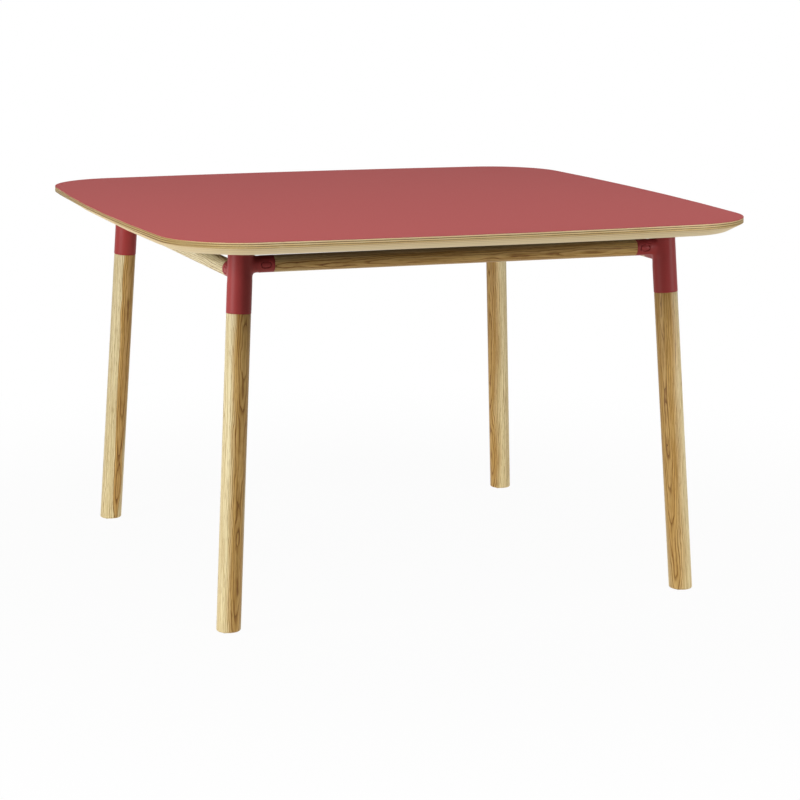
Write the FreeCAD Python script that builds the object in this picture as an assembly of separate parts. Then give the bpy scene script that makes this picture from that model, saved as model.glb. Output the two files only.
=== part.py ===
import FreeCAD, Part
import math
import os
from FreeCAD import Vector

# Square dining table: a bevelled plywood top on four splayed round legs.
# Moulded corner brackets hold each leg and the ends of two round rails.
# Millimetres, +Z up, origin on the floor under the middle of the tabletop, front towards -Y.

# Overall size
table_side = 1200.0
table_height = 744.0

# Tabletop: the sides bow outwards, and the edge is an upright band over a bevel
top_thickness = 26.0
laminate_thickness = 1.0
side_bow_rise = 30.0
corner_radius = 158.0
edge_band_height = 8.0
bevel_angle = 33.0
underside_bow_rise = 16.4
underside_corner_radius = 133.0

# Legs: round, leaning outwards by the same angle along X and along Y
leg_diameter = 46.0
leg_foot_inset = 131.0
leg_splay_angle = 3.25
leg_tenon_width = 28.0
leg_tenon_length = 82.0
leg_foot_chamfer = 2.0

# Rails: round, flush with the bracket's arms, with the front and back pair set higher
rail_diameter = 32.0
front_rail_drop = 35.0
side_rail_drop = 50.0
rail_tenon_width = 16.0
rail_tenon_length = 34.0

# Corner bracket: sleeve for the leg, two arms for the rails, lug under the tabletop
bracket_drop = 124.0
sleeve_step = 0.5
arm_reach = 63.0
bulkhead_thickness = 10.0
lug_thickness = 6.0
lug_radius = 14.0
lug_reach = 36.0

# Oblong pocket in each arm, closed by a cap
pocket_length = 20.0
pocket_width = 12.5
pocket_depth = 3.6
pocket_from_arm_end = 17.0
cap_gap = 0.8
cap_recess = 0.3

# Hexagon head screws that hold the top on the brackets, and the brackets on the legs
top_screw_diameter = 6.0
top_screw_length = 22.0
top_screw_head_width = 10.0
top_screw_head_height = 4.0
leg_screw_diameter = 8.0
leg_screw_length = 50.0
leg_screw_head_width = 13.0
leg_screw_head_height = 5.5

# Foot glide: a square pad under the end of the leg
glide_width = 26.0
glide_thickness = 1.5

# Clearances, on the radius or at an end, and the overrun of a cut
fit_clearance = 0.1
thread_clearance = 0.05
screw_hole_clearance = 0.3
tenon_end_clearance = 0.4
cut_overrun = 5.0
match_tolerance = 0.001

# Places worked out from the sizes above
x_axis = Vector(1, 0, 0)
y_axis = Vector(0, 1, 0)
z_axis = Vector(0, 0, 1)
origin = Vector(0, 0, 0)
half_side = table_side / 2
underside = table_height - top_thickness
core_top = table_height - laminate_thickness
bevel_rise = math.tan(math.radians(bevel_angle))
underside_half_side = half_side - (top_thickness - edge_band_height) / bevel_rise
leg_radius = leg_diameter / 2
leg_socket_width = leg_tenon_width + fit_clearance * 2
sleeve_radius = leg_radius + sleeve_step
sleeve_foot = underside - bracket_drop
rail_radius = rail_diameter / 2
pocket_floor = rail_radius - pocket_depth
splay = math.tan(math.radians(leg_splay_angle))
leg_direction = Vector(splay, splay, 1)
leg_direction.normalize()
leg_socket_depth = leg_tenon_length + tenon_end_clearance
bulkhead_top = leg_socket_depth + bulkhead_thickness


# Distance of a leg's axis from the table's middle, along X and along Y, at a height
def leg_offset(height):
    return half_side - leg_foot_inset - splay * height


# Point on the axis of the front left leg at a height
def leg_point(height):
    return Vector(-leg_offset(height), -leg_offset(height), height)


# Point on that axis at a distance along it from the sleeve's lower end
def sleeve_point(distance):
    return leg_point(sleeve_foot) + leg_direction * distance


# The front left bracket's arms: where each leaves the leg's axis, where it runs, which way it shows
arms = [
    {"origin": leg_point(underside - front_rail_drop), "along": x_axis, "outward": -y_axis},
    {"origin": leg_point(underside - side_rail_drop), "along": y_axis, "outward": -x_axis},
]

# Where the front left bracket's screw enters the tabletop
top_screw_point = leg_point(underside) + Vector(lug_reach, lug_reach, 0)

corners = {
    "front_left": [],
    "front_right": [x_axis],
    "back_left": [y_axis],
    "back_right": [x_axis, y_axis],
}


# The front left corner's shape at another corner
def at_corner(shape, corner):
    for normal in corners[corner]:
        shape = shape.mirror(origin, normal)
    return shape


# The front left corner's shapes at all four corners, as one group
def at_all_corners(shapes):
    return Part.makeCompound([at_corner(shape, corner) for corner in corners for shape in shapes])


def fuse_all(shapes):
    return shapes[0].multiFuse(shapes[1:]).removeSplitter()


# Everything above or below a height, wide enough to trim any piece
def trim_block(low, high):
    corner = Vector(-table_side, -table_side, low)
    return Part.makeBox(table_side * 2, table_side * 2, high - low, corner)


# Square bar along a direction from the middle of its end
def square_bar(width, length, base, direction):
    bar = Part.makeBox(width, width, length, Vector(-width / 2, -width / 2, 0))
    bar.Placement = FreeCAD.Placement(base, FreeCAD.Rotation(z_axis, direction))
    return bar


# Prism with two round ends, given by their centres, raised along a direction
def oblong(start, finish, radius, rise):
    along = finish - start
    along.normalize()
    across = along.cross(rise)
    across.normalize()
    side = across * radius
    end = along * radius
    outline = Part.Wire([
        Part.LineSegment(start - side, finish - side).toShape(),
        Part.Arc(finish - side, finish + end, finish + side).toShape(),
        Part.LineSegment(finish + side, start + side).toShape(),
        Part.Arc(start + side, start - end, start - side).toShape(),
    ])
    return Part.Face(outline).extrude(rise)


# Radius of an arc from its rise and half of its chord
def bow_radius(rise, half_chord):
    return (half_chord ** 2 + rise ** 2) / (2 * rise)


# Square with bowed sides and round corners, all in tangent arcs
def bowed_square(half, bow, corner, height):
    side_centre = half - bow
    reach = bow - corner
    corner_centre = (side_centre + math.sqrt(2 * reach ** 2 - side_centre ** 2)) / 2
    turn = math.atan2(corner_centre, corner_centre - side_centre)
    side_x = side_centre + bow * math.cos(turn)
    side_y = bow * math.sin(turn)
    corner_mid = corner_centre + corner * math.sqrt(0.5)
    side = Part.Arc(Vector(side_x, -side_y, height), Vector(half, 0, height), Vector(side_x, side_y, height))
    bend = Part.Arc(
        Vector(side_x, side_y, height),
        Vector(corner_mid, corner_mid, height),
        Vector(side_y, side_x, height),
    )
    edges = []
    for quarter in range(4):
        for curve in (side, bend):
            edge = curve.toShape()
            edge.rotate(origin, z_axis, quarter * 90)
            edges.append(edge)
    return Part.Wire(edges)


# The same outline in splines, which hold when the bevel's long shallow cuts are made
def in_splines(outline):
    curves = [edge.Curve.toBSpline(edge.FirstParameter, edge.LastParameter) for edge in outline.Edges]
    return Part.Wire([curve.toShape() for curve in curves])


# Hexagon head screw whose head bears on a seat and whose shank runs along a direction
def hexagon_screw(diameter, length, head_width, head_height, seat, direction):
    circle_radius = head_width / math.sqrt(3)
    angles = [side * math.pi / 3 for side in range(7)]
    corner_points = [Vector(math.cos(angle), math.sin(angle), 0) * circle_radius for angle in angles]
    head = Part.Face(Part.makePolygon(corner_points)).extrude(z_axis * head_height)
    head.Placement = FreeCAD.Placement(seat - direction * head_height, FreeCAD.Rotation(z_axis, direction))
    return head.fuse(Part.makeCylinder(diameter / 2, length, seat, direction))


# Tabletop: one bevelled blank, parted into laminate and plywood core
def tabletop_layers():
    side_bow = bow_radius(side_bow_rise, half_side)
    band = Part.Face(bowed_square(half_side, side_bow, corner_radius, underside))
    band = band.extrude(z_axis * top_thickness)
    spread = top_thickness / bevel_rise
    underside_bow = bow_radius(underside_bow_rise, underside_half_side)
    bevel_low = bowed_square(underside_half_side, underside_bow, underside_corner_radius, underside)
    bevel_high = bowed_square(
        underside_half_side + spread,
        underside_bow + spread,
        underside_corner_radius + spread,
        table_height,
    )
    bevel = Part.makeLoft([in_splines(bevel_low), in_splines(bevel_high)], True, True)
    blank = band.common(bevel)
    laminate = blank.common(trim_block(core_top, table_height))
    core = blank.common(trim_block(underside, core_top))
    hole_radius = top_screw_diameter / 2 + thread_clearance
    hole_depth = top_screw_length - lug_thickness + tenon_end_clearance
    hole = Part.makeCylinder(hole_radius, hole_depth, top_screw_point, z_axis)
    return laminate, core.cut(at_all_corners([hole]))


# Point on an arm's axis behind the middle of its pocket, moved along the arm and outwards
def pocket_point(arm, aside, outward):
    middle = arm_reach - pocket_from_arm_end
    return arm["origin"] + arm["along"] * (middle + aside) + arm["outward"] * outward


# Oblong prism in an arm's pocket, standing on the pocket's floor
def pocket_prism(arm, gap, height):
    radius = pocket_width / 2 - gap
    aside = (pocket_length - pocket_width) / 2
    start = pocket_point(arm, -aside, pocket_floor)
    finish = pocket_point(arm, aside, pocket_floor)
    return oblong(start, finish, radius, arm["outward"] * height)


# Hollows of the bracket: leg socket and screw well, rail sockets, pockets and screw holes
def bracket_cuts():
    leg_hole = leg_screw_diameter / 2 + screw_hole_clearance
    top_hole = top_screw_diameter / 2 + screw_hole_clearance
    lug_bottom = top_screw_point - z_axis * lug_thickness
    socket_start = sleeve_point(-cut_overrun)
    cuts = [
        trim_block(underside, table_height),
        square_bar(leg_socket_width, leg_socket_depth + cut_overrun, socket_start, leg_direction),
        square_bar(leg_socket_width, bracket_drop, sleeve_point(bulkhead_top), leg_direction),
        Part.makeCylinder(leg_hole, bulkhead_top, sleeve_point(0), leg_direction),
        Part.makeCylinder(top_hole, lug_thickness, lug_bottom, z_axis),
    ]
    socket_width = rail_tenon_width + fit_clearance * 2
    socket_depth = rail_tenon_length + tenon_end_clearance
    for arm in arms:
        socket_end = arm["origin"] + arm["along"] * (arm_reach - socket_depth)
        cuts.append(square_bar(socket_width, socket_depth + cut_overrun, socket_end, arm["along"]))
        cuts.append(pocket_prism(arm, 0, pocket_depth + cut_overrun))
    return cuts


# Corner bracket at the front left: sleeve, two arms and the lug for the tabletop's screw
def bracket():
    sleeve_length = bracket_drop + cut_overrun
    lug_start = leg_point(underside) - z_axis * lug_thickness
    lug_end = top_screw_point - z_axis * lug_thickness
    solids = [
        Part.makeCylinder(sleeve_radius, sleeve_length, sleeve_point(0), leg_direction),
        oblong(lug_start, lug_end, lug_radius, z_axis * lug_thickness),
    ]
    for arm in arms:
        solids.append(Part.makeCylinder(rail_radius, arm_reach, arm["origin"], arm["along"]))
    return fuse_all(solids).cut(bracket_cuts())


# Leg at the front left, with its tenon in the sleeve, cut level at the foot
def leg():
    shoulder = sleeve_point(0)
    shaft_length = sleeve_foot / leg_direction.z + leg_diameter
    shaft = Part.makeCylinder(leg_radius, shaft_length, shoulder, -leg_direction)
    shaft = shaft.cut(trim_block(-table_height, glide_thickness))
    foot_top = glide_thickness + match_tolerance
    foot_edges = [edge for edge in shaft.Edges if edge.BoundBox.ZMax < foot_top]
    shaft = shaft.makeChamfer(leg_foot_chamfer, foot_edges)
    tenon = square_bar(leg_tenon_width, leg_tenon_length, shoulder, leg_direction)
    hole_radius = leg_screw_diameter / 2 + thread_clearance
    hole_length = leg_screw_length + tenon_end_clearance
    hole = Part.makeCylinder(hole_radius, hole_length, sleeve_point(bulkhead_top), -leg_direction)
    return shaft.fuse(tenon).cut(hole)


# Foot glide at the front left
def glide():
    return square_bar(glide_width, glide_thickness, leg_point(0), z_axis)


# Rail between one arm and the arm that faces it, with a tenon at each end
def rail(arm):
    start = arm["origin"] + arm["along"] * arm_reach
    length = -2 * start.dot(arm["along"])
    bar = Part.makeCylinder(rail_radius, length, start, arm["along"])
    tenon_start = start - arm["along"] * rail_tenon_length
    tenon = square_bar(rail_tenon_width, length + rail_tenon_length * 2, tenon_start, arm["along"])
    return fuse_all([bar, tenon])


# Cap that closes an arm's pocket
def arm_cap(arm):
    blank = pocket_prism(arm, cap_gap, pocket_depth)
    return blank.common(Part.makeCylinder(rail_radius - cap_recess, arm_reach, arm["origin"], arm["along"]))


# Screw up through a bracket's lug into the tabletop
def top_screw():
    seat = top_screw_point - z_axis * lug_thickness
    return hexagon_screw(top_screw_diameter, top_screw_length, top_screw_head_width,
                         top_screw_head_height, seat, z_axis)


# Screw down through a bracket's bulkhead into the leg
def leg_screw():
    return hexagon_screw(leg_screw_diameter, leg_screw_length, leg_screw_head_width,
                         leg_screw_head_height, sleeve_point(bulkhead_top), -leg_direction)


def build():
    pieces = {}
    laminate, core = tabletop_layers()
    pieces["tabletop_laminate"] = laminate
    pieces["tabletop_core"] = core
    corner_pieces = {"bracket": bracket(), "leg": leg(), "glide": glide()}
    for name, shape in corner_pieces.items():
        for corner in corners:
            pieces[name + "_" + corner] = at_corner(shape, corner)
    front_rail, left_rail = [rail(arm) for arm in arms]
    pieces["rail_front"] = front_rail
    pieces["rail_back"] = front_rail.mirror(origin, y_axis)
    pieces["rail_left"] = left_rail
    pieces["rail_right"] = left_rail.mirror(origin, x_axis)
    pieces["tabletop_screws"] = at_all_corners([top_screw()])
    pieces["leg_screws"] = at_all_corners([leg_screw()])
    pieces["arm_caps"] = at_all_corners([arm_cap(arm) for arm in arms])
    return pieces


os.makedirs("parts", exist_ok=True)
for node, shape in build().items():
    shape.exportStep("parts/" + node + ".step")
    print(node, len(shape.Solids), shape.isValid(), round(shape.Volume), shape.BoundBox)
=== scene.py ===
import bpy
import math
from mathutils import Euler, Matrix, Vector


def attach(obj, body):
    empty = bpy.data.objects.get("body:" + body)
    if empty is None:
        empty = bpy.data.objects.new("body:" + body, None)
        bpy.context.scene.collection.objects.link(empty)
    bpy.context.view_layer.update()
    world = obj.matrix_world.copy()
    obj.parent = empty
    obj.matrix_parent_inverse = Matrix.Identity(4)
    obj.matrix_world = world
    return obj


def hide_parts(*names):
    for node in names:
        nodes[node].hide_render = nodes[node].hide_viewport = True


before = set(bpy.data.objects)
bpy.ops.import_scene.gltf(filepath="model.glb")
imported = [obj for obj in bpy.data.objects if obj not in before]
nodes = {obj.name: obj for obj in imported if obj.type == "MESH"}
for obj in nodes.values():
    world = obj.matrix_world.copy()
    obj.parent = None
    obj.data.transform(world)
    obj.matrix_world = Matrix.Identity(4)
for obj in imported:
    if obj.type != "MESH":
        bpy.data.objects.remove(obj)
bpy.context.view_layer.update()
bpy.ops.object.select_all(action="DESELECT")
bpy.context.scene.view_settings.view_transform = "Standard"
print("frame loaded:", len(nodes), "nodes")

corners = ("front_left", "front_right", "back_left", "back_right")
rails = ("rail_front", "rail_back", "rail_left", "rail_right")
mmPerMetre = 1000


# sRGB hex to the linear values that shaders use
def linearColour(hexCode):
    channels = [int(hexCode[i:i + 2], 16) / 255 for i in (1, 3, 5)]
    linear = [c / 12.92 if c <= 0.04045 else ((c + 0.055) / 1.055) ** 2.4 for c in channels]
    return linear + [1.0]


# adds one shader node; links take a socket or a plain value, stops fill a colour ramp
# (in a Mix node input 0 is the factor, 4 and 5 are the vectors, 6 and 7 the colours)
def addNode(tree, kind, links=(), stops=(), **settings):
    made = tree.nodes.new("ShaderNode" + kind)
    for name, value in settings.items():
        setattr(made, name, value)
    for socket, source in dict(links).items():
        if isinstance(source, bpy.types.NodeSocket):
            tree.links.new(source, made.inputs[socket])
        else:
            made.inputs[socket].default_value = source
    for index, (place, colour) in enumerate(stops):
        elements = made.color_ramp.elements
        element = elements[index] if index < 2 else elements.new(place)
        element.position = place
        element.color = linearColour(colour)
    return made


# the inputs of a Map Range node
def ranged(value, source=(0.0, 1.0), target=(0.0, 1.0)):
    return {"Value": value, "From Min": source[0], "From Max": source[1],
            "To Min": target[0], "To Max": target[1]}


def newMaterial(look, name):
    made = bpy.data.materials.new(name)
    made.use_nodes = True
    tree = made.node_tree
    shader = tree.nodes["Principled BSDF"]
    if "specular" in look:
        shader.inputs["Specular IOR Level"].default_value = look["specular"]
    return made, tree, shader


# colour and relief go into the shader
def dressShader(tree, shader, look, colour, height, **settings):
    bump = addNode(tree, "Bump", {"Height": height, "Strength": look["bump"],
                                  "Distance": look["bumpDepth"]}, **settings)
    tree.links.new(colour, shader.inputs["Base Color"])
    tree.links.new(bump.outputs["Normal"], shader.inputs["Normal"])
    shader.inputs["Roughness"].default_value = look["roughness"]


# high pressure laminate, pressed matt: an even dusty red with a faint fine mottle
laminateLook = {
    "colours": ("#AC4B49", "#B0504E"), "spread": (0.35, 0.65),
    "grain": 3.0, "detail": 4.0,             # mm, drawn coarser than the real 0.3 mm so that it shows
    "bump": 0.04, "bumpDepth": 0.0003,       # m
    "roughness": 0.7, "specular": 0.2,
}

# glass-filled nylon, moulded in a grained tool: same red, a little deeper, dull sheen
bracketLook = {
    "colours": ("#993837", "#9F3D3C"), "spread": (0.3, 0.7),
    "grain": 1.2, "detail": 3.0,             # mm, spark-eroded grain of the tool, coarse enough to show
    "bump": 0.1, "bumpDepth": 0.0003,        # m
    "roughness": 0.45, "specular": 0.18,
}

# moulded nylon of the glides: pale, matt, a fine grain
glideLook = {
    "colours": ("#BBB6A8", "#C5C0B3"), "spread": (0.3, 0.7),
    "grain": 10 / 9, "detail": 3.0,          # mm
    "bump": 0.15, "bumpDepth": 0.0002,       # m
    "roughness": 0.55, "specular": 0.3,
}


def grainedMaterial(name, look):
    material, tree, shader = newMaterial(look, name)
    place = addNode(tree, "TexCoord").outputs["Object"]
    grain = addNode(tree, "TexNoise", {"Vector": place, "Scale": mmPerMetre / look["grain"],
                                       "Detail": look["detail"]}).outputs["Fac"]
    colour = addNode(tree, "ValToRGB", {"Fac": grain},
                     list(zip(look["spread"], look["colours"]))).outputs["Color"]
    dressShader(tree, shader, look, colour, grain)
    return material


# birch plywood, sanded and clear lacquered: pale plies along the grain, darker ones cut across it
plywoodLook = {
    "underside": 718.0,                      # mm above the floor
    "pair": 50 / 13, "thick": 0.62,          # mm of a thick and a thin ply, and the thick one's share
    "waver": 0.6, "waverRun": 125.0,         # mm that the veneers wander up and down, and over what run
    "slowDetail": 2.0,
    "along": ("#E8C98C", "#F2D8A0", "#F9E5B6"),
    "across": ("#80603A", "#9A744A", "#B08C5C"),
    "spread": (0.42, 0.62, 0.85),            # where these tones lie
    "plyTone": 0.35, "thinStep": 0.37,       # how far plies differ, and what sets thin ones apart
    "fibre": (1.3, 60.0), "detail": 4.0,     # mm across and along a fibre bundle
    "endGrain": (0.35, 0.85),                # share of sideways facing over which end grain comes up
    "slanted": (0.2, 0.7), "level": (0.93, 0.99),   # steepness of the bevel and of the flat faces
    "bevelLines": 0.5,                       # how strongly the plies show where the cut is slanted
    "glue": "#6A4A22",
    "glueWidth": 0.08, "glueFrom": 0.94,     # share of a pair
    "glueRun": 50.0,                         # mm, over which a glue line comes and goes
    "glueFade": (0.4, 0.62), "glueStrength": (0.3, 0.8),
    "sides": "#C9C4AE",                      # tint of the upright band cut across the thick plies: partly lacquer soaked into end grain, partly painted shade on the sideways faces
    "crosscut": (0.05, 0.5), "band": (0.2, 0.5),    # where it comes in, by facing and steepness
    "rimHighlight": "#FFF3D4",                       # painted highlight: the bevel is painted paler towards its lower rim, where floor light catches it
    "bevelHeight": 17.0, "lessAside": 0.7,   # mm, and how much less it does so at the sides
    "shadeBacking": ("#54463A", "#64554A"),       # brown balancing paper on the underside, made this dark as painted shade that deepens the shade on the rail and sleeve tops below
    "shadeBackingSpread": (0.35, 0.65), "paper": 2.5,    # mm, its mottle
    "downward": (-0.95, -0.99),              # where a face counts as the underside
    "bump": 0.15, "bumpDepth": 0.0003,       # m
    "roughness": 0.5, "specular": 0.12,
}


def plywoodMaterial(name, look):
    material, tree, shader = newMaterial(look, name)
    place = addNode(tree, "TexCoord").outputs["Object"]
    local = addNode(tree, "Mapping", {"Vector": place, "Scale": [mmPerMetre] * 3}).outputs["Vector"]
    waver = addNode(tree, "TexNoise", {"Vector": local, "Scale": 1 / look["waverRun"],
                                       "Detail": look["slowDetail"]}).outputs["Fac"]
    height = addNode(tree, "SeparateXYZ", {"Vector": local}).outputs["Z"]
    wavy = addNode(tree, "Math", {0: waver, 1: look["waver"], 2: height},
                   operation="MULTIPLY_ADD").outputs[0]
    above = addNode(tree, "Math", {0: wavy, 1: look["underside"]}, operation="SUBTRACT").outputs[0]
    count = addNode(tree, "Math", {0: above, 1: look["pair"]}, operation="DIVIDE").outputs[0]
    pair = addNode(tree, "Math", {0: count}, operation="FLOOR").outputs[0]
    within = addNode(tree, "Math", {0: count}, operation="FRACT").outputs[0]
    thin = addNode(tree, "Math", {0: within, 1: look["thick"]}, operation="GREATER_THAN").outputs[0]
    ply = addNode(tree, "Math", {0: thin, 1: look["thinStep"], 2: pair},
                  operation="MULTIPLY_ADD").outputs[0]
    # a ply shows end grain where the face looks along its fibres
    normal = addNode(tree, "NewGeometry").outputs["Normal"]
    facing = addNode(tree, "VectorMath", {0: normal}, operation="ABSOLUTE").outputs[0]
    parts = addNode(tree, "SeparateXYZ", {"Vector": facing}).outputs
    flat = addNode(tree, "Math", {0: parts["X"], 1: parts["Y"]}, operation="ADD").outputs[0]
    share = addNode(tree, "Math", {0: parts["X"], 1: flat}, operation="DIVIDE").outputs[0]
    swap = addNode(tree, "Math", {0: thin, 1: -2.0, 2: 1.0}, operation="MULTIPLY_ADD").outputs[0]
    crossed = addNode(tree, "MapRange", ranged(share, look["endGrain"])).outputs["Result"]
    endShare = addNode(tree, "Math", {0: crossed, 1: swap, 2: thin},
                       operation="MULTIPLY_ADD").outputs[0]
    slanted = addNode(tree, "MapRange", ranged(parts["Z"], look["slanted"],
                                               (1.0, look["bevelLines"]))).outputs["Result"]
    upright = addNode(tree, "MapRange", ranged(parts["Z"], look["level"],
                                               (slanted, 0.0))).outputs["Result"]
    endGrain = addNode(tree, "Math", {0: endShare, 1: upright}, operation="MULTIPLY").outputs[0]
    # fibres run along X in the thick plies and along Y in the thin ones
    fine, long = [1 / size for size in look["fibre"]]
    stretch = addNode(tree, "Mix", {0: thin, 4: (long, fine, fine), 5: (fine, long, fine)},
                      data_type="VECTOR").outputs[1]
    drawn = addNode(tree, "VectorMath", {0: local, 1: stretch}, operation="MULTIPLY").outputs[0]
    fibre = addNode(tree, "TexNoise", {"Vector": drawn, "Scale": 1.0,
                                       "Detail": look["detail"]}).outputs["Fac"]
    tone = addNode(tree, "TexWhiteNoise", {"W": ply}, noise_dimensions="1D").outputs["Value"]
    shade = addNode(tree, "Math", {0: tone, 1: look["plyTone"], 2: fibre},
                    operation="MULTIPLY_ADD").outputs[0]
    along, across = [addNode(tree, "ValToRGB", {"Fac": shade},
                             list(zip(look["spread"], look[way]))).outputs["Color"]
                     for way in ("along", "across")]
    wood = addNode(tree, "Mix", {0: endGrain, 6: along, 7: across}, data_type="RGBA").outputs[2]
    # glue lines between the plies, which come and go along the edge
    thick, width = look["thick"], look["glueWidth"]
    line = addNode(tree, "ValToRGB", {"Fac": within},
                   [(0.0, "#C0C0C0"), (width, "#000000"), (thick - width, "#000000"),
                    (thick, "#FFFFFF"), (thick + width, "#000000"), (look["glueFrom"], "#000000"),
                    (1.0, "#C0C0C0")]).outputs["Color"]
    shown = addNode(tree, "Math", {0: line, 1: upright}, operation="MULTIPLY").outputs[0]
    comes = addNode(tree, "TexNoise", {"Vector": local, "Scale": 1 / look["glueRun"],
                                       "Detail": look["slowDetail"]}).outputs["Fac"]
    strength = addNode(tree, "MapRange", ranged(comes, look["glueFade"],
                                                look["glueStrength"])).outputs["Result"]
    soft = addNode(tree, "Math", {0: shown, 1: strength}, operation="MULTIPLY").outputs[0]
    lined = addNode(tree, "Mix", {0: soft, 6: wood, 7: linearColour(look["glue"])},
                    data_type="RGBA").outputs[2]
    # cut across the thick plies, the band soaks up more lacquer and goes darker; the sideways faces are
    # also darkened further as painted shade
    crosscut = addNode(tree, "MapRange", ranged(share, look["crosscut"])).outputs["Result"]
    band = addNode(tree, "MapRange", ranged(parts["Z"], look["band"],
                                            (crosscut, 0.0))).outputs["Result"]
    soakedAndShaded = addNode(tree, "Mix", {0: band, 6: lined, 7: linearColour(look["sides"])},
                     data_type="RGBA", blend_type="MULTIPLY").outputs[2]
    # painted highlight: the lower rim of the bevel is painted paler, less so on the sideways faces
    lowest = addNode(tree, "MapRange", ranged(above, (look["bevelHeight"], 0.0))).outputs["Result"]
    ahead = addNode(tree, "Math", {0: share, 1: -look["lessAside"], 2: 1.0},
                    operation="MULTIPLY_ADD").outputs[0]
    rimHighlightShare = addNode(tree, "Math", {0: lowest, 1: ahead}, operation="MULTIPLY").outputs[0]
    colour = addNode(tree, "Mix", {0: rimHighlightShare, 6: soakedAndShaded, 7: linearColour(look["rimHighlight"])},
                     data_type="RGBA").outputs[2]
    # the underside gets the dark backing: partly balancing paper, partly painted shade for the rail and
    # sleeve tops beneath it
    down = addNode(tree, "SeparateXYZ", {"Vector": normal}).outputs["Z"]
    under = addNode(tree, "MapRange", ranged(down, look["downward"])).outputs["Result"]
    paper = addNode(tree, "TexNoise", {"Vector": local, "Scale": 1 / look["paper"],
                                       "Detail": look["detail"]}).outputs["Fac"]
    shadeBacking = addNode(tree, "ValToRGB", {"Fac": paper},
                      list(zip(look["shadeBackingSpread"], look["shadeBacking"]))).outputs["Color"]
    shadeBacked = addNode(tree, "Mix", {0: under, 6: colour, 7: shadeBacking}, data_type="RGBA").outputs[2]
    dressShader(tree, shader, look, shadeBacked, fibre)
    return material


# oak, turned and matt lacquered: pale straw wood, fine ring lines that open into long arches,
# short dark pores
oakLook = {
    "ring": 3.2,                             # mm between growth rings
    "wander": 19.0, "wanderPace": (0.02, 0.02, 0.0055),   # mm that the rings stray, and bends per mm
    "quiver": 3.4, "quiverPace": (0.12, 0.12, 0.028),     # the same for the short waves along a line
    "bendDetail": 2.0,
    "rings": ("#6C471C", "#A8864E", "#E6DAAE", "#F4EACA", "#D2BE8C"),
    "ringSpread": (0.0, 0.14, 0.34, 0.75, 1.0),
    "heart": "#E0C395", "sap": "#FAF9F6",    # tints next to the pith and away from it
    "plain": (0.45, 0.75),                   # how far a faint line is lost, near the pith and away
    "marked": (0.9, 0.55),                   # how strongly the streaks show there
    "fibrePace": (0.36, 0.36, 0.008), "detail": 4.0,      # fibre bundles per mm
    "yearTone": 0.55, "faint": (0.55, 1.0),  # how far years differ, and where one goes faint
    "streaks": ("#CAB78C", "#FFFFFF"), "streakSpread": (0.3, 0.6),
    "pore": "#8A6534", "poreShare": 0.65, "poreDetail": 1.0,
    "poreSize": (1.0, 22.0),                 # mm across and along, drawn coarser than the real 0.3 mm
    "poreFrom": (0.62, 0.74),
    "early": (0.1, 0.5), "crowding": (0.12, 0.0),         # the part of a ring where they crowd
    "logStep": 1371.0,                       # mm along the log from one bar to the next
    "bump": 0.2, "bumpDepth": 0.0002,        # m
    "roughness": 0.45, "specular": 0.28,
}


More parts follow.
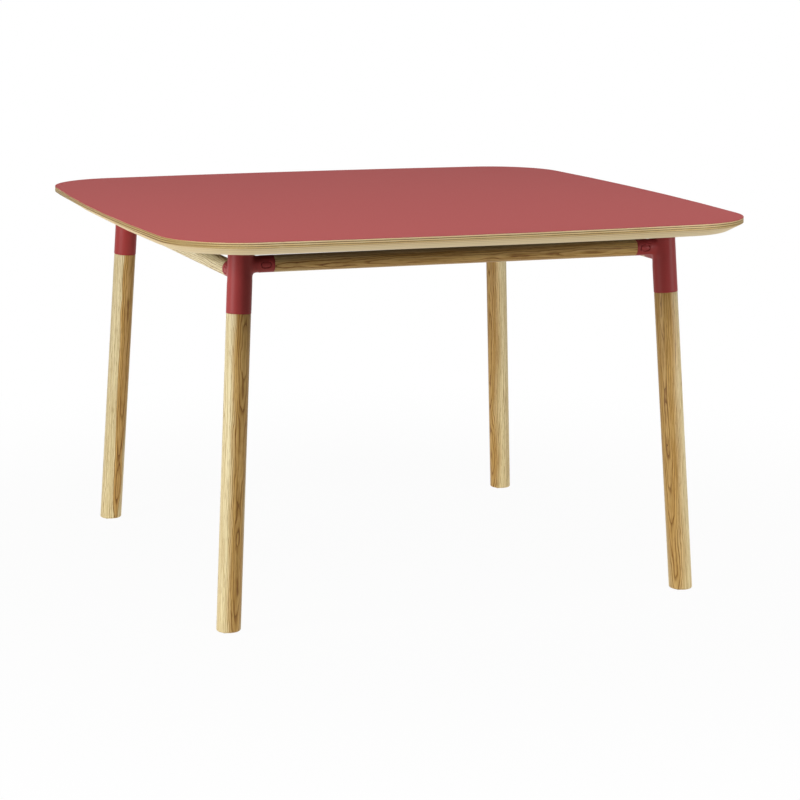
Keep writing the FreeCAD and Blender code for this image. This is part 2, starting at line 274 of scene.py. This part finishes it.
def oakMaterial(name, look, start, end, radius, pith, lean, sapFrom, seed):
    material, tree, shader = newMaterial(look, name)
    axis = (Vector(end) - Vector(start)).normalized()
    upright = axis.rotation_difference(Vector((0, 0, 1))).to_matrix()
    tilted = Euler((math.radians(lean[0]), math.radians(lean[1]), 0.0)).to_matrix() @ upright
    cutFrom = Vector((pith[0], pith[1], seed * look["logStep"]))
    shift = tilted @ (Vector(start) * -mmPerMetre) - cutFrom
    place = addNode(tree, "TexCoord").outputs["Object"]
    local = addNode(tree, "Mapping", {"Vector": place, "Location": shift,
                                      "Rotation": tilted.to_euler(),
                                      "Scale": [mmPerMetre] * 3}).outputs["Vector"]
    # distance from the pith, bent by a slow and a short noise
    across = addNode(tree, "VectorMath", {0: local, 1: (1, 1, 0)}, operation="MULTIPLY").outputs[0]
    strayed = addNode(tree, "VectorMath", {0: across}, operation="LENGTH").outputs["Value"]
    for bending in ("wander", "quiver"):
        slow = addNode(tree, "VectorMath", {0: local, 1: look[bending + "Pace"]},
                       operation="MULTIPLY").outputs[0]
        bend = addNode(tree, "TexNoise", {"Vector": slow, "Scale": 1.0,
                                          "Detail": look["bendDetail"]}).outputs["Fac"]
        strayed = addNode(tree, "Math", {0: bend, 1: look[bending], 2: strayed},
                          operation="MULTIPLY_ADD").outputs[0]
    count = addNode(tree, "Math", {0: strayed, 1: look["ring"]}, operation="DIVIDE").outputs[0]
    within = addNode(tree, "Math", {0: count}, operation="FRACT").outputs[0]
    year = addNode(tree, "Math", {0: count}, operation="FLOOR").outputs[0]
    rings = addNode(tree, "ValToRGB", {"Fac": within},
                    list(zip(look["ringSpread"], look["rings"]))).outputs["Color"]
    # browner towards the pith, paler and plainer away from it
    middle = math.hypot(*pith) + look["wander"] / 2 + look["quiver"] / 2
    paleZone = (middle - radius, middle - radius * sapFrom)
    outward = addNode(tree, "MapRange", ranged(strayed, paleZone)).outputs["Result"]
    tint = addNode(tree, "ValToRGB", {"Fac": outward},
                   [(0.0, look["heart"]), (1.0, look["sap"])]).outputs["Color"]
    plainest = addNode(tree, "MapRange", ranged(outward, target=look["plain"])).outputs["Result"]
    marked = addNode(tree, "MapRange", ranged(outward, target=look["marked"])).outputs["Result"]
    # some years hardly show, and a line fades in and out along its run
    yearTone = addNode(tree, "TexWhiteNoise", {"W": year}, noise_dimensions="1D").outputs["Value"]
    fine = addNode(tree, "VectorMath", {0: local, 1: look["fibrePace"]},
                   operation="MULTIPLY").outputs[0]
    fibre = addNode(tree, "TexNoise", {"Vector": fine, "Scale": 1.0,
                                       "Detail": look["detail"]}).outputs["Fac"]
    drift = addNode(tree, "Math", {0: yearTone, 1: look["yearTone"], 2: fibre},
                    operation="MULTIPLY_ADD").outputs[0]
    plain = addNode(tree, "MapRange", ranged(drift, look["faint"], (0.0, plainest))).outputs["Result"]
    wood = addNode(tree, "Mix", {0: plain, 6: rings, 7: linearColour(look["rings"][2])},
                   data_type="RGBA").outputs[2]
    warm = addNode(tree, "Mix", {0: 1.0, 6: wood, 7: tint}, data_type="RGBA",
                   blend_type="MULTIPLY").outputs[2]
    streak = addNode(tree, "ValToRGB", {"Fac": fibre},
                     list(zip(look["streakSpread"], look["streaks"]))).outputs["Color"]
    streaked = addNode(tree, "Mix", {0: marked, 6: warm, 7: streak}, data_type="RGBA",
                       blend_type="MULTIPLY").outputs[2]
    # pores crowd in the early wood
    thin, long = [1 / size for size in look["poreSize"]]
    poreSpace = addNode(tree, "VectorMath", {0: local, 1: (thin, thin, long)},
                        operation="MULTIPLY").outputs[0]
    poreNoise = addNode(tree, "TexNoise", {"Vector": poreSpace, "Scale": 1.0,
                                           "Detail": look["poreDetail"]}).outputs["Fac"]
    early = addNode(tree, "MapRange", ranged(within, look["early"],
                                             look["crowding"])).outputs["Result"]
    crowd = addNode(tree, "Math", {0: poreNoise, 1: early}, operation="ADD").outputs[0]
    pores = addNode(tree, "MapRange", ranged(crowd, look["poreFrom"])).outputs["Result"]
    poreShare = addNode(tree, "Math", {0: pores, 1: look["poreShare"]},
                        operation="MULTIPLY").outputs[0]
    colour = addNode(tree, "Mix", {0: poreShare, 6: streaked, 7: linearColour(look["pore"])},
                     data_type="RGBA").outputs[2]
    dressShader(tree, shader, look, colour, pores, invert=True)
    return material


# zinc plated steel, dull bright with a slight bluish cast
zincLook = {
    "colours": ("#B4B8BE", "#C8CACC"), "spread": (0.3, 0.7),
    "grain": 10 / 7, "detail": 3.0,          # mm
    "roughness": (0.25, 0.45),
}


def zincMaterial(name, look):
    material, tree, shader = newMaterial(look, name)
    place = addNode(tree, "TexCoord").outputs["Object"]
    mottle = addNode(tree, "TexNoise", {"Vector": place, "Scale": mmPerMetre / look["grain"],
                                        "Detail": look["detail"]}).outputs["Fac"]
    rough = addNode(tree, "MapRange", ranged(mottle, target=look["roughness"])).outputs["Result"]
    colour = addNode(tree, "ValToRGB", {"Fac": mottle},
                     list(zip(look["spread"], look["colours"]))).outputs["Color"]
    tree.links.new(colour, shader.inputs["Base Color"])
    tree.links.new(rough, shader.inputs["Roughness"])
    shader.inputs["Metallic"].default_value = 1.0
    return material


def putMaterial(piece, material):
    piece.data.materials.clear()
    piece.data.materials.append(material)


# where each oak bar runs (m), its radius, how it was cut from the log (mm, degrees), and the share
# of the radius, on the side of the pith, at which the pale wood starts
oakBars = {
    "leg_front_left": {"start": (-0.469, -0.469, 0), "end": (-0.4353, -0.4353, 0.594), "radius": 23,
                       "pith": (14, -44), "lean": (0.9, 0.2), "sapFrom": 0.55, "seed": 1},
    # partly heart wood, partly painted shade: the browner heart is put on this leg's left, the side the
    # left soft box would light, so that side stays dark
    "leg_front_right": {"start": (0.469, -0.469, 0), "end": (0.4353, -0.4353, 0.594), "radius": 23,
                        "pith": (-33, -28), "lean": (1.2, -1.0), "sapFrom": 0.0, "seed": 2},
    "leg_back_left": {"start": (-0.469, 0.469, 0), "end": (-0.4353, 0.4353, 0.594), "radius": 23,
                      "pith": (12, -48), "lean": (1.0, -0.3), "sapFrom": 0.9, "seed": 3},
    "leg_back_right": {"start": (0.469, 0.469, 0), "end": (0.4353, 0.4353, 0.594), "radius": 23,
                       "pith": (-46, -10), "lean": (-0.3, -1.1), "sapFrom": 0.3, "seed": 4},
    # partly heart wood, partly painted shade: the pith sits below the front so that front and
    # underside, in the shade of the top, come out browner
    "rail_front": {"start": (-0.367, -0.4302, 0.683), "end": (0.367, -0.4302, 0.683), "radius": 16,
                   "pith": (10, -41), "lean": (0.8, 0.3), "sapFrom": 0.0, "seed": 5},
    "rail_back": {"start": (-0.367, 0.4302, 0.683), "end": (0.367, 0.4302, 0.683), "radius": 16,
                  "pith": (-8, -44), "lean": (0.7, -0.4), "sapFrom": 0.35, "seed": 6},
    "rail_left": {"start": (-0.4311, -0.368, 0.668), "end": (-0.4311, 0.368, 0.668), "radius": 16,
                  "pith": (14, -41), "lean": (-0.6, 0.5), "sapFrom": 0.35, "seed": 7},
    "rail_right": {"start": (0.4311, -0.368, 0.668), "end": (0.4311, 0.368, 0.668), "radius": 16,
                   "pith": (30, 30), "lean": (0.6, 0.7), "sapFrom": 0.35, "seed": 8},
}

nylon = grainedMaterial("moulded_nylon", bracketLook)
laminate = grainedMaterial("laminate_matt", laminateLook)
plywood = plywoodMaterial("birch_plywood", plywoodLook)
zinc = zincMaterial("zinc_plated_steel", zincLook)
paleNylon = grainedMaterial("pale_nylon", glideLook)
oaks = {name: oakMaterial("oak_" + name, oakLook, **bar) for name, bar in oakBars.items()}
for name in rails:
    putMaterial(nodes[name], oaks[name])
for corner in corners:
    putMaterial(nodes["glide_" + corner], paleNylon)
putMaterial(nodes["leg_screws"], zinc)
print("materials: laminate, plywood, nylon, oak, zinc")

mergeWithin = 0.000002    # m
flatWithin = 1            # degrees


def pickPiece(piece):
    bpy.ops.object.select_all(action="DESELECT")
    bpy.context.view_layer.objects.active = piece
    piece.select_set(True)


def copyPiece(name, source):
    piece = bpy.data.objects.new(name, source.data.copy())
    bpy.context.collection.objects.link(piece)
    pickPiece(piece)
    return piece


# a copy of a CAD node to work on: merged, and its flat faces joined up again
def startPiece(name, node):
    piece = copyPiece(name, nodes[node])
    bpy.ops.object.mode_set(mode="EDIT")
    bpy.ops.mesh.select_all(action="SELECT")
    bpy.ops.mesh.remove_doubles(threshold=mergeWithin)
    bpy.ops.mesh.dissolve_limited(angle_limit=math.radians(flatWithin))
    bpy.ops.object.mode_set(mode="OBJECT")
    return piece


def finishPiece(piece, node, material, smoothAngle):
    pickPiece(piece)
    bpy.ops.object.shade_smooth_by_angle(angle=math.radians(smoothAngle))
    putMaterial(piece, material)
    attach(piece, "root")
    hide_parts(node)


def easeEdges(piece, shape):
    ease = piece.modifiers.new("ease", "BEVEL")
    ease.width = shape["ease"]
    ease.segments = shape["segments"]
    ease.limit_method = "ANGLE"
    ease.angle_limit = math.radians(shape["sharperThan"])
    bpy.ops.object.modifier_apply(modifier=ease.name)


# the same piece on the other side of the table's middle
def mirrorPiece(piece, name, signs):
    twin = copyPiece(name, piece)
    bpy.ops.object.mode_set(mode="EDIT")
    bpy.ops.mesh.select_all(action="SELECT")
    bpy.ops.transform.resize(value=signs, center_override=(0, 0, 0))
    bpy.ops.mesh.remove_doubles(threshold=mergeWithin)
    bpy.ops.mesh.normals_make_consistent(inside=False)
    bpy.ops.object.mode_set(mode="OBJECT")
    return twin


# the arrises of the top are sanded off by hand, and the bevel climbs and draws in round the corners
topShape = {
    "ease": 0.0005, "segments": 2, "sharperThan": 20, "smooth": 50,   # m, degrees
    "rim": 0.47,                             # m, only the edge lies further out
    "cornerFrom": 0.6,                       # where a corner starts, 1 on the diagonal
    "undersideTop": 0.7185, "bandBottom": 0.737,   # m
    "draw": 0.009, "climb": 0.0022,          # m
}


def shapeCorners(piece, shape):
    for vertex in piece.data.vertices:
        x, y, z = vertex.co
        reach = max(abs(x), abs(y))
        if reach < shape["rim"] or z > shape["bandBottom"]:
            continue
        near = (min(abs(x), abs(y)) / reach - shape["cornerFrom"]) / (1 - shape["cornerFrom"])
        near = max(0.0, near)
        share = near * near * (3 - 2 * near)
        if z < shape["undersideTop"]:
            vertex.co -= Vector((x, y, 0)).normalized() * shape["draw"] * share
        else:
            vertex.co.z += shape["climb"] * share


for node, slot, material in (("tabletop_laminate", "laminate", laminate),
                             ("tabletop_core", "plywood", plywood)):
    piece = startPiece(node + "_eased", node)
    if node == "tabletop_core":
        shapeCorners(piece, topShape)
    easeEdges(piece, topShape)
    evenOut = piece.modifiers.new("evenOut", "WEIGHTED_NORMAL")
    finishPiece(piece, node, material, topShape["smooth"])
    bpy.ops.object.modifier_apply(modifier=evenOut.name)
print("tabletop")

# legs: the foot's chamfer is turned into a round, the edges of shoulder and tenon are eased alike
legShape = {"round": 0.001, "segments": 3, "sharperThan": 25, "smooth": 35}   # m, degrees

for corner in corners:
    piece = startPiece("leg_turned_" + corner, "leg_" + corner)
    bpy.ops.object.mode_set(mode="EDIT")
    bpy.ops.mesh.select_mode(type="EDGE")
    bpy.ops.mesh.select_all(action="DESELECT")
    bpy.ops.mesh.edges_select_sharp(sharpness=math.radians(legShape["sharperThan"]))
    bpy.ops.mesh.bevel(offset=legShape["round"], segments=legShape["segments"])
    bpy.ops.object.mode_set(mode="OBJECT")
    finishPiece(piece, "leg_" + corner, oaks["leg_" + corner], legShape["smooth"])
print("legs")

# moulded corner bracket: one skin, with a fillet where each arm leaves the sleeve
bracketShape = {
    "voxel": 0.0007,                         # m
    "foot": (-0.469, -0.469, 0.0), "splay": 3.25,   # where the sleeve's axis meets the floor; degrees
    "sleeveRadius": 0.0235, "armRadius": 0.0165,    # m
    "armHeights": (0.683, 0.668),            # m, the arm along X, the arm along Y
    "spread": (-0.001, 0.0135),              # m, how far the fillet reaches in and out
    "polish": 3, "passes": 240, "pull": 0.5,        # rounds of smoothing, all over and in the fillet
    "keep": 0.3,                             # share of the faces
    "smooth": 60,                            # degrees
}


def filletZone(point, shape):
    inner, outer = shape["spread"]
    lean = math.tan(math.radians(shape["splay"]))
    foot = Vector(shape["foot"])
    rise = Vector((lean, lean, 1))
    axis = rise.normalized()
    offset = point - foot
    fromSleeve = (offset - axis * offset.dot(axis)).length - shape["sleeveRadius"]
    if not inner < fromSleeve < outer:
        return False
    for along, height in enumerate(shape["armHeights"]):
        reach = point - (foot + rise * height)
        ahead = reach[along]
        reach[along] = 0
        fromArm = reach.length - shape["armRadius"]
        if ahead > 0 and inner < fromArm < outer:
            return True
    return False


def modelBracket(shape):
    piece = startPiece("bracket_moulded_front_left", "bracket_front_left")
    skin = piece.modifiers.new("skin", "REMESH")
    skin.mode = "VOXEL"
    skin.voxel_size = shape["voxel"]
    bpy.ops.object.modifier_apply(modifier=skin.name)
    zone = [filletZone(vertex.co, shape) for vertex in piece.data.vertices]
    bpy.ops.object.mode_set(mode="EDIT")
    bpy.ops.mesh.select_mode(type="VERT")
    bpy.ops.mesh.select_all(action="SELECT")
    bpy.ops.mesh.vertices_smooth(factor=shape["pull"], repeat=shape["polish"])
    bpy.ops.mesh.select_all(action="DESELECT")
    bpy.ops.object.mode_set(mode="OBJECT")
    for vertex, inZone in zip(piece.data.vertices, zone):
        vertex.select = inZone
    bpy.ops.object.mode_set(mode="EDIT")
    bpy.ops.mesh.vertices_smooth(factor=shape["pull"], repeat=shape["passes"])
    bpy.ops.object.mode_set(mode="OBJECT")
    thin = piece.modifiers.new("thin", "DECIMATE")
    thin.ratio = shape["keep"]
    bpy.ops.object.modifier_apply(modifier=thin.name)
    return piece


bracketPiece = modelBracket(bracketShape)
finishPiece(bracketPiece, "bracket_front_left", nylon, bracketShape["smooth"])
for corner, signs in (("front_right", (-1, 1, 1)), ("back_left", (1, -1, 1)),
                      ("back_right", (-1, -1, 1))):
    twin = mirrorPiece(bracketPiece, "bracket_moulded_" + corner, signs)
    finishPiece(twin, "bracket_" + corner, nylon, bracketShape["smooth"])
print("brackets:", len(bracketPiece.data.polygons), "faces each")

# caps and screws, their edges broken as they come from the tool; caps shrink a little as they cool
capShape = {"shrink": 0.0004, "ease": 0.0005, "segments": 2, "sharperThan": 35, "smooth": 40}
screwShape = {"shrink": 0.0, "ease": 0.0004, "segments": 2, "sharperThan": 35, "smooth": 40}


def modelSmall(node, material, shape):
    piece = startPiece(node + "_eased", node)
    bpy.ops.object.mode_set(mode="EDIT")
    bpy.ops.mesh.select_all(action="SELECT")
    bpy.ops.transform.shrink_fatten(value=-shape["shrink"], use_even_offset=True)
    bpy.ops.object.mode_set(mode="OBJECT")
    easeEdges(piece, shape)
    finishPiece(piece, node, material, shape["smooth"])


modelSmall("arm_caps", nylon, capShape)
modelSmall("tabletop_screws", zinc, screwShape)
print("caps and screws")

# pale floor that keeps a soft shadow and runs out to white, in a dim room; under the table it glows, a
# painted glow that gives fill light from below
stageLook = {
    "colour": "#B4B2AF", "size": 160.0, "drop": 0.0005,   # m
    "glow": (0.965, 1.0), "fade": (0.7, 2.0),        # share of white near and far, and from where, m
    "fill": (0.78, 0.0), "fillFade": (0.8, 1.3),     # painted glow of the floor under the table that lights the object, likewise
    "fillColour": "#FFF0D2",
    "ambient": 0.04,
}


# the camera and glossy reflections see the stage white, whatever light it gives
def seenRays(tree):
    path = addNode(tree, "LightPath").outputs
    seen = addNode(tree, "Math", {0: path["Is Camera Ray"], 1: path["Is Glossy Ray"]},
                   operation="MAXIMUM").outputs[0]
    return path, seen


def addFloor(look):
    bpy.ops.mesh.primitive_plane_add(size=look["size"], location=(0, 0, -look["drop"]))
    floor = bpy.context.object
    floor.name = "floor"
    bpy.ops.object.transform_apply(location=True, rotation=True, scale=True)
    material = bpy.data.materials.new("pale_floor")
    material.use_nodes = True
    tree = material.node_tree
    tree.nodes.clear()
    seen = seenRays(tree)[1]
    place = addNode(tree, "TexCoord").outputs["Object"]
    away = addNode(tree, "VectorMath", {0: place}, operation="LENGTH").outputs["Value"]
    white = addNode(tree, "MapRange", ranged(away, look["fade"], look["glow"]),
                    interpolation_type="SMOOTHSTEP").outputs["Result"]
    # painted glow: the floor under the table emits fill light to all but camera and glossy rays
    fill = addNode(tree, "MapRange", ranged(away, look["fillFade"], look["fill"])).outputs["Result"]
    share = addNode(tree, "Mix", {0: seen, 2: fill, 3: white}).outputs[0]
    paint = addNode(tree, "BsdfDiffuse", {"Color": linearColour(look["colour"])}).outputs[0]
    tone = addNode(tree, "Mix", {0: seen, 6: linearColour(look["fillColour"]), 7: (1, 1, 1, 1)},
                   data_type="RGBA").outputs[2]
    glow = addNode(tree, "Emission", {"Color": tone, "Strength": 1.0}).outputs[0]
    mixed = addNode(tree, "MixShader", {0: share, 1: paint, 2: glow}).outputs[0]
    addNode(tree, "OutputMaterial", {"Surface": mixed})
    floor.data.materials.append(material)


def addWorld(look):
    world = bpy.data.worlds.new("studio")
    bpy.context.scene.world = world
    world.use_nodes = True
    tree = world.node_tree
    tree.nodes.clear()
    path, seen = seenRays(tree)
    either = addNode(tree, "Math", {0: seen, 1: path["Is Transmission Ray"]},
                     operation="MAXIMUM").outputs[0]
    dim, bright = [addNode(tree, "Background", {"Color": (1, 1, 1, 1), "Strength": level}).outputs[0]
                   for level in (look["ambient"], 1.0)]
    mixed = addNode(tree, "MixShader", {0: either, 1: dim, 2: bright}).outputs[0]
    addNode(tree, "OutputWorld", {"Surface": mixed})


addFloor(stageLook)
addWorld(stageLook)

# soft boxes: overhead for the top, one each side for the legs (m, degrees)
softBoxes = {
    "overhead": {"place": (-0.1, -2.85, 5.4), "aim": (0, 0, 0.7), "size": (3.6, 3.6),
                 "watts": 224, "spread": 180},
    "left": {"place": (-2.8, -0.72, 1.0), "aim": (-0.2, 0, 0.4), "size": (1.0, 1.8),
             "watts": 57, "spread": 180},
    "right": {"place": (1.95, -1.8, 0.6), "aim": (0.45, 0, 0.35), "size": (0.5, 1.1),
              "watts": 2.0, "spread": 36},
}


def addSoftBox(name, place, aim, size, watts, spread):
    bpy.ops.object.light_add(type="AREA", location=place)
    lamp = bpy.context.object
    lamp.name = "softbox_" + name
    lamp.rotation_euler = (Vector(aim) - Vector(place)).to_track_quat("-Z", "Y").to_euler()
    lamp.data.shape = "RECTANGLE"
    lamp.data.size, lamp.data.size_y = size
    lamp.data.energy = watts
    lamp.data.spread = math.radians(spread)


for name, box in softBoxes.items():
    addSoftBox(name, **box)
print("stage and", len(softBoxes), "soft boxes")

# camera as in the photograph: low, from the front left, with a long lens
cameraView = {
    "azimuth": -0.3391, "elevation": 0.1931, "roll": 0.0034,   # radians
    "target": (-0.0346, 0.0, 0.3259), "distance": 5.0382,      # m
    "lens": 108.92, "sensor": 36.0, "shift": 0.04375,          # mm, mm, share of the width
}


def addCamera(azimuth, elevation, roll, target, distance, lens, sensor, shift):
    back = Vector((math.sin(azimuth) * math.cos(elevation), -math.cos(azimuth) * math.cos(elevation),
                   math.sin(elevation)))
    level = Vector((0, 0, 1)).cross(back).normalized()
    upward = back.cross(level)
    across = level * math.cos(roll) + upward * math.sin(roll)
    upright = upward * math.cos(roll) - level * math.sin(roll)
    bpy.ops.object.camera_add()
    camera = bpy.context.object
    turned = Matrix((across, upright, back)).transposed().to_4x4()
    camera.matrix_world = Matrix.Translation(Vector(target) + back * distance) @ turned
    camera.data.sensor_width = sensor
    camera.data.lens = lens
    camera.data.shift_x = shift
    bpy.context.scene.camera = camera


addCamera(**cameraView)
print("camera set")
